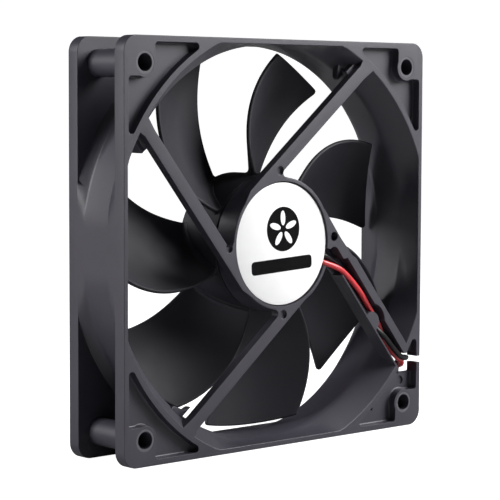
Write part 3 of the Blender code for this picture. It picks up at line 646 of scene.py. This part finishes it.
def make_plug(material):
    """Two-way nylon wire housing with two keys on its top and windows over its contacts."""
    near, far = PLUG_MIDDLE - PLUG_WIDTH / 2, PLUG_MIDDLE + PLUG_WIDTH / 2
    top = GROUND + PLUG_HEIGHT
    body = rounded(box_outline(near, far, GROUND + 0.03, top - 0.9), 0.35)
    plug = side_solid("plug_housing", [body], PLUG_FROM, PLUG_TO, material)
    keys = []
    for depth in (near + 0.5, far - 1.3):
        keys.append(rounded(box_outline(depth, depth + KEY_WIDTH, PLUG_ARM, top), 0.2))
    bridge = rounded(box_outline(near + 0.3, far - 0.3, PLUG_ARM, top), 0.3)
    combine(plug, "UNION", [
        side_solid("keys", keys, PLUG_FROM + 0.3, PLUG_TO - 2.5),
        side_solid("bridge", [bridge], PLUG_TO - 1.8, PLUG_TO - 0.3),
    ])
    cavities, windows = [], []
    for depth in (PLUG_MIDDLE - PLUG_PITCH / 2, PLUG_MIDDLE + PLUG_PITCH / 2):
        cavities.append(box_outline(depth - CAVITY_HALF, depth + CAVITY_HALF, GROUND + 1.95, GROUND + 3.85))
        windows.append(box_outline(depth - 0.5, depth + 0.5, GROUND + 3.5, GROUND + 6.0))
    combine(plug, "DIFFERENCE", [
        side_solid("cavities", cavities, PLUG_FROM - 1, PLUG_TO + 1, edge=0.1),
        side_solid("windows", windows, PLUG_FROM + 3.2, PLUG_FROM + 5.0, edge=0.1),
    ])
    smooth_edges(plug)
    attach(plug, "housing")
    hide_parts("connector_housing")
    return plug


def make_tie(material):
    """Thin closed band around one side of the coil."""
    gap, thick, width = 0.12, 0.3, 3.0
    near = COIL_CENTRE[1] + COIL_INNER - 0.25
    far = COIL_CENTRE[1] + COIL_OUTER + 0.05
    low, high = GROUND + 0.45, GROUND + 3.95
    inner = rounded(box_outline(near - gap, far + gap, low - gap, high + gap), 0.5)
    outer = offset_outline(inner, thick)
    bm = bmesh.new()
    rings = []
    for side, shrink in ((-width / 2, 0.06), (-width / 2 + 0.1, 0), (width / 2 - 0.1, 0), (width / 2, 0.06)):
        x = COIL_CENTRE[0] + side
        rings.append([
            [bm.verts.new((x, depth, z)) for depth, z in offset_outline(inner, shrink)],
            [bm.verts.new((x, depth, z)) for depth, z in offset_outline(outer, -shrink)],
        ])
    pairs = [(rings[k][s], rings[k + 1][s]) for k in range(3) for s in (0, 1)]
    pairs += [(rings[0][0], rings[0][1]), (rings[3][0], rings[3][1])]
    for pair in pairs:
        join_rings(bm, pair)
    tie = finish_mesh("coil_band", bm, material)
    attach(tie, "housing")
    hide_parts("coil_tie")
    return tie


# --- frame ----------------------------------------------------------------------------------

def square_outline():
    c = HALF - CORNER_RADIUS
    outline = []
    for quarter, (sx, sz) in enumerate([(1, 1), (-1, 1), (-1, -1), (1, -1)]):
        outline += arc((sx * c, sz * c), CORNER_RADIUS, quarter * 90, quarter * 90 + 90, 14)
    return outline


def pocket_outline():
    """Hollow beside the top right screw hole, between the ring wall and the outer rim."""
    hole, pad_radius, pad_edge, cap_radius, fillet = HOLE_OFFSET, 4.1, 48.8, 1.15, 1.0
    cap_middle = RIM_INNER - cap_radius
    cap_height = math.sqrt((RING_WALL + cap_radius) ** 2 - cap_middle ** 2)
    tangent = math.degrees(math.atan2(cap_height, cap_middle))
    pad_turn = math.degrees(math.acos((hole - pad_edge) / pad_radius))
    inner = RIM_INNER - fillet
    return (
        arc((cap_middle, cap_height), cap_radius, 0, tangent - 180, 10)
        + arc((0, 0), RING_WALL, tangent, 90 - tangent, 28)[1:-1]
        + arc((cap_height, cap_middle), cap_radius, 270 - tangent, 90, 10)
        + arc((pad_edge - fillet, inner), fillet, 90, 0, 6)
        + arc((hole, hole), pad_radius, 180 - pad_turn, 270 + pad_turn, 16)
        + arc((inner, pad_edge - fillet), fillet, 90, 0, 6)
    )


def strut_outline(inner, outer, outer_end):
    """A strut along +X between two offsets, filleted into the round base at its inner side."""
    fillet = STRUT_FILLET
    middle = (math.sqrt((BASE_RADIUS + 0.1 + fillet) ** 2 - (inner - fillet) ** 2), inner - fillet)
    towards_base = math.degrees(math.atan2(-middle[1], -middle[0]))
    points = [(-6, 12), (middle[0] * 0.8, middle[1] * 0.8)]
    points += arc(middle, fillet, towards_base, -270, 8)
    points += [
        (57.0, inner),
        (math.sqrt(STRUT_REACH ** 2 - inner ** 2), inner - 0.6),
        (math.sqrt(STRUT_REACH ** 2 - outer_end ** 2), outer_end),
        (58.0, outer + 0.1),
        (0, outer),
        (-6, BASE_RADIUS - 1.2),
    ]
    return points


def channel_strut_outline():
    """The wide lower right strut; its cable channel is cut afterwards."""
    return [
        (62.6, 12.35), (61.1, 20.35), (24.0, 20.35), (22.0, 19.6), (14.7, 19.2),
        (4.0, 19.4), (-4.0, 18.9), (4.0, 12.0), (16.0, 12.35),
    ]


def channel_outline(tab):
    """Cable channel with a round end at the hub and a bulge beside the retaining tab."""
    start, end, low, high = 24.0, 67.0, 13.0, 17.6
    tab_at, tab_radius, bulge_radius = 44.1, 3.3, 5.7
    hub_end, hub_end_radius = (16.35, 14.16), 1.9
    points = [(start, low)]
    if tab:
        points += arc((tab_at, low), tab_radius, 180, 0, 20)
    points += [(end, low), (end, high)]
    points += arc((tab_at, low + 0.1), bulge_radius, 52, 128, 16)
    points += [(21.5, high), (20.5, 16.1)]
    points += arc(hub_end, hub_end_radius, 90, 200, 10)
    points += [(17.5, 12.0), (start, 12.0)]
    return points


def corners():
    h = HOLE_OFFSET
    return [(h, h), (-h, h), (-h, -h), (h, -h)]


def plate_levels(front, back):
    """Levels of a plate whose outer edges are softened at its two faces."""
    return [(front, -EDGE), (front + EDGE, 0), (back - EDGE, 0), (back, -EDGE)]


def cut_levels(surface, floor):
    """Levels of a cutter that enters at a surface and softens the mouth and the floor's edge."""
    way = 1 if floor > surface else -1
    levels = [(surface - way * 0.05, LIP + 0.05), (surface + way * LIP, 0)]
    for a in np.linspace(0, QUARTER, 5):
        levels.append((floor - way * FLOOR_FILLET * (1 - math.sin(a)), -FLOOR_FILLET * (1 - math.cos(a))))
    return levels


def make_frame_body(material):
    """Two flanges joined by the barrel and the pillars, with the duct cut through them."""
    body = loft("fan_frame", [square_outline()], plate_levels(0, FLANGE), material)
    rear = loft("rear", [square_outline()], plate_levels(DEPTH - FLANGE, DEPTH))
    flare = 62.9
    barrel_profile = [
        (0, 2.0), (flare, 2.0), (flare, FLANGE), (61.6, 5.9), (60.9, 6.9), (BARREL_RADIUS, 7.6),
        (BARREL_RADIUS, 17.4), (60.9, 18.1), (61.6, 19.1), (flare, DEPTH - FLANGE), (flare, 23.0), (0, 23.0),
    ]
    barrel = turned("barrel", barrel_profile, steps=DUCT_STEPS, flat=lambda depth: HALF)
    pillars = loft("pillars", [circle(x, z, PILLAR_RADIUS, 40) for x, z in corners()], [(3.0, 0), (22.0, 0)])
    combine(body, "UNION", [rear, barrel, pillars])

    duct_profile = [
        (0, -0.5), (MOUTH_RADIUS + 0.7, -0.5), (MOUTH_RADIUS + 0.2, 0), (MOUTH_RADIUS - 0.1, 0.25),
        (60.6, 4.1), (59.2, 6.2), (58.6, 7.3), (THROAT_RADIUS, 8.4), (THROAT_RADIUS, 17.0),
        (58.6, 18.0), (59.3, 19.2), (60.6, 21.0), (63.8, DEPTH - 0.25), (64.1, DEPTH),
        (64.6, DEPTH + 0.5), (0, DEPTH + 0.5),
    ]

    def duct_flat(depth):
        return DUCT_FLAT + max(0.0, EDGE - depth, depth - DEPTH + EDGE)

    duct = turned("duct", duct_profile, steps=DUCT_STEPS, flat=duct_flat)
    combine(body, "DIFFERENCE", [duct])
    return body


def add_base_and_struts(body):
    """The motor base, three plain struts with a ledge and a block each, and the cable strut."""
    base_profile = [
        (0, 0), (BASE_RADIUS - 0.3, 0), (BASE_RADIUS - 0.08, 0.09), (BASE_RADIUS, 0.3),
        (BASE_RADIUS + 0.72, BASE_DEPTH - 0.2), (BASE_RADIUS + 0.55, BASE_DEPTH), (0, BASE_DEPTH),
    ]
    base = turned("base", base_profile)
    strut_levels = [(0, -EDGE * 0.7), (EDGE * 0.7, 0), (STRUT_DEPTH - EDGE, -0.06), (STRUT_DEPTH, -EDGE)]
    struts = []
    for k, (inner, outer, outer_end) in enumerate(STRUT_OFFSETS):
        angle = FIRST_STRUT + k * QUARTER
        outline = turn_outline(strut_outline(inner, outer, outer_end), angle)
        struts.append(loft("strut", [outline], strut_levels))
        ledge = turn_outline(box_outline(*LEDGE_SPAN, outer - 0.3, outer + 1.2), angle)
        struts.append(loft("strut_ledge", [ledge], LEDGE_LEVELS))
        side, shape = (inner, INNER_BLOCK) if k == INNER_BLOCK_STRUT else (outer, OUTER_BLOCK)
        block = turn_outline([(along, side + beside) for along, beside in shape], angle)
        struts.append(loft("strut_block", [block], BLOCK_LEVELS))
    channel = turn_outline(channel_strut_outline(), FIRST_STRUT + 3 * QUARTER)
    depth = CHANNEL_STRUT_DEPTH
    struts.append(loft("channel_strut", [channel],
                       [(0, -EDGE * 0.5), (EDGE * 0.5, 0), (depth - EDGE, -0.1), (depth, -EDGE - 0.1)]))
    combine(body, "UNION", [base] + struts)


def cut_frame_details(body):
    """Pockets, screw holes, label recess, motor room, cable channel, lead hole and small marks."""
    angle = FIRST_STRUT + 3 * QUARTER
    pockets = [turn_outline(pocket_outline(), QUARTER * k) for k in range(4)]
    through = [(-0.05, 0.3), (0.25, 0), (DEPTH - 0.25, 0), (DEPTH + 0.05, 0.3)]
    holes = loft("holes", [circle(x, z, HOLE_RADIUS, 48) for x, z in corners()], through)
    recess = [
        (0, -0.3), (LABEL_RADIUS + 0.35, -0.3), (LABEL_RADIUS + 0.1, 0.12),
        (LABEL_RADIUS + 0.05, GROOVE_FLOOR), (LABEL_RADIUS - 0.35, GROOVE_FLOOR),
        (LABEL_RADIUS - 0.35, LABEL_RECESS), (0, LABEL_RECESS),
    ]
    past_base = BASE_DEPTH + 1
    skirt = [(COLLAR_RADIUS, PLATE_BACK), (18.6, PLATE_BACK), (19.1, past_base), (COLLAR_RADIUS, past_base)]
    bore_radius, step, tube_fit, collar_fit = 4.6, 1.6, TUBE_RADIUS + 0.05, 6.75
    bore = [
        (0, 0.1), (bore_radius, 0.1), (bore_radius, step), (tube_fit, step), (tube_fit, COLLAR_BACK),
        (collar_fit, COLLAR_BACK), (collar_fit, past_base), (0, past_base),
    ]
    notch = turn_outline(rounded(box_outline(*BASE_NOTCH), 0.5), NOTCH_TURN)
    mouth = turn_outline(channel_outline(True), angle)
    deep = turn_outline(channel_outline(False), angle)
    dimples = [circle(x, z, DIMPLE_RADIUS, 28) for x, z in DIMPLES]
    floor_marks = [circle(*mark) for mark in FLOOR_MARKS]
    lead_hole = rounded(box_outline(*LEAD_HOLE), 0.5)
    slot = rounded(box_outline(*LEAD_SLOT), 0.2)
    cutters = [
        loft("front_pockets", pockets, cut_levels(0, POCKET_DEPTH)),
        loft("rear_pockets", pockets, cut_levels(DEPTH, DEPTH - POCKET_DEPTH)),
        holes,
        loft("seats", [circle(x, z, SCREW_SEAT, 48) for x, z in corners()], [(-0.05, 0.04), (SEAT_DEPTH, 0)]),
        turned("recess", recess),
        turned("skirt", skirt, steps=96),
        turned("bore", bore, steps=64),
        loft("notch", [notch], [(-0.5, 0), (5.4, 0)]),
        loft("mouth", [mouth], [(-0.05, 0.12), (0.1, 0), (TAB_THICKNESS + 0.5, 0)]),
        loft("deep", [deep], [(TAB_THICKNESS, 0), (CHANNEL_FLOOR, 0)]),
        loft("lead_hole", [lead_hole], [(-1, 0), (5.0, 0)]),
        loft("slot", [slot], [(-0.05, 0.2), (0.15, 0), (FLANGE - 0.1, 0), (5.0, 0.4)]),
        loft("dimples", dimples, [(-0.05, 0.15), (0.1, 0), (0.7, 0), (0.9, -0.3)]),
        loft("floor_marks", floor_marks, [(POCKET_DEPTH - 0.5, 0), (POCKET_DEPTH + 0.5, -0.2)]),
        loft("deep_dimple", [circle(*DEEP_DIMPLE, 28)], [(-0.05, 0.15), (0.1, 0), (2.2, 0)]),
    ]
    combine(body, "DIFFERENCE", cutters)


def paint_seat_highlight(body, material):
    """The flat rings around the front screw holes get a lighter colour as a painted highlight, and a smoother
    surface.
    """
    body.data.materials.append(material)
    for face in body.data.polygons:
        place = (face.center - FRONT_CENTRE) / MM
        away = min(math.hypot(place.x - x, place.z - z) for x, z in corners())
        if away < SCREW_SEAT and abs(place.y - SEAT_DEPTH) < SEAT_DEPTH / 2:
            # Seat ring faces take the lighter plastic: a painted highlight
            face.material_index = 1


def make_frame(materials):
    body = make_frame_body(materials["frame_plastic"])
    add_base_and_struts(body)
    cut_frame_details(body)
    smooth_edges(body)
    paint_seat_highlight(body, materials["seat_highlight_plastic"])
    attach(body, "housing")
    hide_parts("frame")
    return body


# --- impeller -------------------------------------------------------------------------------

def blade_edge(share, trailing):
    """Angle in degrees and depth of one blade edge, at a share of the way from hub to tip."""
    s = share
    if trailing:
        return 100.9 + 7.8 * s - 35.5 * s ** 2 + 8.4 * s ** 3, 8.4 + 2.9 * s + 0.15 * s ** 2
    return 60.5 + 9.5 * s - 27.2 * s ** 2 + 9.3 * s ** 3, 22.6 + 0.75 * s - 1.55 * s ** 2


def blade_point(radius, chord):
    """Middle surface of a blade, between its trailing edge at 0 and leading edge at 1."""
    share = (radius - BLADE_CURVES_FROM) / (TIP_RADIUS - BLADE_CURVES_FROM)
    angle_a, depth_a = blade_edge(share, True)
    angle_b, depth_b = blade_edge(share, False)
    camber = 0.7 + 0.35 * share
    angle = math.radians(angle_a + (angle_b - angle_a) * chord)
    depth = depth_a + (depth_b - depth_a) * (chord + camber * chord * (1 - chord))
    return Vector((radius * math.cos(angle), depth, radius * math.sin(angle)))


def blade_section(radius, chords):
    """Points across a blade with rounded edges, thickened by a fillet where it meets the hub."""
    small = 0.01
    length = (blade_point(radius, 1) - blade_point(radius, 0)).length
    into_corner = max(0.0, radius - (TIP_RADIUS - TIP_ROUND))
    cut_back = (TIP_ROUND - math.sqrt(max(0.0, TIP_ROUND ** 2 - into_corner ** 2))) / length
    above_hub = min(ROOT_FILLET, max(0.0, radius - HUB_RADIUS))
    fillet = ROOT_FILLET - math.sqrt(ROOT_FILLET ** 2 - (ROOT_FILLET - above_hub) ** 2)
    tip_fade = math.sqrt(min(1.0, max(0.05, (TIP_RADIUS - radius) / 0.3)))
    front, back = [], []
    for chord in chords:
        at = chord * (1 - cut_back)
        here = blade_point(radius, at)
        along = blade_point(radius, at + small) - here
        outwards = blade_point(radius + small, at) - here
        normal = along.cross(outwards).normalized()
        edge = min(chord, 1 - chord) * length
        rounding = math.sqrt(max(0.0, 1 - (1 - min(1.0, edge / BLADE_EDGE)) ** 2))
        half = BLADE_THICKNESS / 2 * rounding * (0.6 + 0.4 * tip_fade) + fillet * rounding
        front.append(here + normal * half)
        back.append(here - normal * half)
    return front, back


def make_blades():
    """Seven blades, with finer steps in the hub fillet, along the edges and at the tip."""
    radii = np.concatenate([
        np.linspace(BLADE_ROOT, HUB_RADIUS - 0.1, 2), np.linspace(HUB_RADIUS, HUB_RADIUS + ROOT_FILLET, 6),
        np.linspace(HUB_RADIUS + ROOT_FILLET, TIP_RADIUS - TIP_ROUND, 24)[1:],
        TIP_RADIUS - TIP_ROUND * (1 - np.sin(np.linspace(0, QUARTER, 9)))[1:],
    ])
    edge = np.array([0, 0.0015, 0.005, 0.012, 0.025])
    chords = np.concatenate([edge, np.linspace(0.05, 0.95, 22), (1 - edge)[::-1]])
    sections = [blade_section(radius, chords) for radius in radii]
    bm = bmesh.new()
    last = len(chords) - 1
    for k in range(BLADES):
        turn = Matrix.Rotation(-2 * math.pi * k / BLADES, 3, "Y")
        rows = []
        for front, back in sections:
            loop = front + back[::-1][1:-1]
            rows.append([bm.verts.new(turn @ point) for point in loop])
        join_rings(bm, rows)
        count = len(rows[0])
        for row in (rows[0], rows[-1]):
            bm.faces.new((row[0], row[1], row[count - 1]))
            for i in range(1, last - 1):
                bm.faces.new((row[i], row[i + 1], row[count - i - 1], row[count - i]))
            bm.faces.new((row[last - 1], row[last], row[last + 1]))
    return finish_mesh("blades", bm)


def make_impeller(material):
    inner = HUB_RADIUS - HUB_WALL
    wall = HUB_BACK - HUB_TOP
    rim = [(HUB_RADIUS - HUB_ROUND + HUB_ROUND * math.cos(a), HUB_BACK - HUB_ROUND + HUB_ROUND * math.sin(a))
           for a in np.linspace(QUARTER, 0, 9)]
    profile = [(0, HUB_BACK)] + rim + [
        (HUB_RADIUS, HUB_FRONT + 0.3), (HUB_RADIUS - 0.25, HUB_FRONT), (inner, HUB_FRONT), (inner, wall),
        (BOSS_RADIUS, wall), (BOSS_RADIUS, BOSS_FRONT), (SHAFT_HOLE_RADIUS, BOSS_FRONT),
        (SHAFT_HOLE_RADIUS, SHAFT_HOLE_BACK), (0, SHAFT_HOLE_BACK),
    ]
    impeller = turned("fan_impeller", profile, material)
    combine(impeller, "UNION", [make_blades()])
    smooth_edges(impeller)
    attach(impeller, "rotor")
    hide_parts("impeller")
    return impeller


# --- label ----------------------------------------------------------------------------------

def leaf_outline(turn):
    """One straight leaf of the printed fan symbol."""
    middle, length, width = 3.3, 2.2, 0.95
    angles = np.linspace(0, 2 * math.pi, 32, endpoint=False)
    return turn_outline([(middle + length * math.cos(a), width * math.sin(a)) for a in angles], turn)


def print_on_label(name, shapes, depth, material):
    """A thin printed layer, turned a little as the label sits on the base."""
    shapes = [turn_outline(shape, LABEL_TURN) for shape in shapes]
    piece = loft(name, shapes, [(depth, -0.01), (depth + 0.01, 0), (PRINT_BACK, 0)], material)
    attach(piece, "housing")


def make_label(materials):
    radius = LABEL_RADIUS - 0.3
    profile = [
        (0, LABEL_FRONT), (radius - 0.08, LABEL_FRONT), (radius, LABEL_FRONT + 0.04),
        (radius, LABEL_BACK), (0, LABEL_BACK),
    ]
    label = turned("label_disc", profile, materials["label_film"])
    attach(label, "housing")
    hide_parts("motor_label")
    x, z = BADGE_CENTRE
    leaves = []
    for k in range(LEAVES):
        leaf = leaf_outline(QUARTER + 2 * math.pi * k / LEAVES)
        leaves.append([(x + across, z + up) for across, up in leaf])
    badge = circle(x, z, BADGE_RADIUS, 72)
    bar = rounded(box_outline(*BAR), BAR_CORNER)
    print_on_label("label_print", [badge, bar], PRINT_FRONT, materials["label_ink"])
    print_on_label("label_leaves", leaves, LEAVES_FRONT, materials["label_film"])


# --- kept CAD pieces ------------------------------------------------------------------------

def dress_cad_nodes(materials):
    """Give every CAD piece that stays in view the material of its slot."""
    slots = {entry["node"]: entry["material_slot"] for entry in frame["record"]["subparts"]}
    for name, obj in frame["nodes"].items():
        material = materials[slots[name]]
        obj.data.materials.clear()
        obj.data.materials.append(material)


# --- stage ----------------------------------------------------------------------------------

def make_stage():
    """A pale sweep: floor that curves up into a backdrop far behind the fan, bright to the camera."""
    bm = bmesh.new()
    width, front, back, rise = 3.0, -2.5, 1.2, 1.0
    profile = [(front, 0.0), (back, 0.0)]
    profile += [(back + rise * math.sin(a), rise * (1 - math.cos(a))) for a in np.linspace(0.1, QUARTER, 12)]
    profile.append((back + rise, 3.0))
    rows = [[bm.verts.new((x, y, z)) for x in (-width, width)] for y, z in profile]
    for near, far in zip(rows, rows[1:]):
        bm.faces.new((near[0], near[1], far[1], far[0]))
    mesh = bpy.data.meshes.new("studio_floor")
    bm.to_mesh(mesh)
    bm.free()
    mesh.shade_smooth()
    shader = Shader("studio_paper", 0.9, specular=0.1)
    shader.link(shader.ramp(shader.noise(4.0), (0.42, 0.42, 0.42), (0.45, 0.45, 0.45)),
                shader.surface.inputs["Base Color"])
    seen = shader.node("ShaderNodeLightPath").outputs["Is Camera Ray"]
    shader.surface.inputs["Emission Color"].default_value = (1, 1, 1, 1)
    shader.link(shader.spread(seen, 0.0, FLOOR_GLOW), shader.surface.inputs["Emission Strength"])
    floor = add_object("studio_floor", mesh, shader.material)
    floor.rotation_euler = (0, 0, CAMERA_AZIMUTH)
    floor.location = (0, 0, cad_low[2] - 0.0002)
    floor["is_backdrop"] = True


def area_light(name, azimuth, elevation, distance, size, power):
    """A softbox aimed at the fan, at an angle from straight in front and a height above level."""
    light = bpy.data.lights.new(name, "AREA")
    light.shape = "RECTANGLE"
    light.size, light.size_y = size
    light.energy = power
    obj = bpy.data.objects.new(name, light)
    bpy.context.scene.collection.objects.link(obj)
    around, above = math.radians(azimuth), math.radians(elevation)
    away = Vector((
        math.sin(around) * math.cos(above), -math.cos(around) * math.cos(above), math.sin(above),
    ))
    obj.location = FRONT_CENTRE + away * distance
    obj.rotation_euler = (-away).to_track_quat("-Z", "Y").to_euler()


def make_lights():
    """Softboxes and a dim world, which the camera alone sees as a bright backdrop."""
    studio = bpy.data.worlds.new("studio")
    studio.use_nodes = True
    tree = studio.node_tree
    dim = tree.nodes["Background"]
    dim.inputs["Color"].default_value = (1, 1, 1, 1)
    dim.inputs["Strength"].default_value = WORLD_LIGHT
    bright = tree.nodes.new("ShaderNodeBackground")
    bright.inputs["Color"].default_value = (1, 1, 1, 1)
    mix = tree.nodes.new("ShaderNodeMixShader")
    seen = tree.nodes.new("ShaderNodeLightPath")
    tree.links.new(seen.outputs["Is Camera Ray"], mix.inputs["Fac"])
    tree.links.new(dim.outputs["Background"], mix.inputs[1])
    tree.links.new(bright.outputs["Background"], mix.inputs[2])
    tree.links.new(mix.outputs["Shader"], tree.nodes["World Output"].inputs["Surface"])
    bpy.context.scene.world = studio
    for softbox in SOFTBOXES:
        area_light(*softbox)
    bpy.context.scene.view_settings.view_transform = "Standard"


make_camera()
materials = make_materials()
red_wire, black_wire = make_leads(materials)
plug_housing = make_plug(materials["nylon"])
coil_band = make_tie(materials["black_pvc"])
make_frame(materials)
make_impeller(materials["impeller_plastic"])
make_label(materials)
dress_cad_nodes(materials)
make_stage()
make_lights()
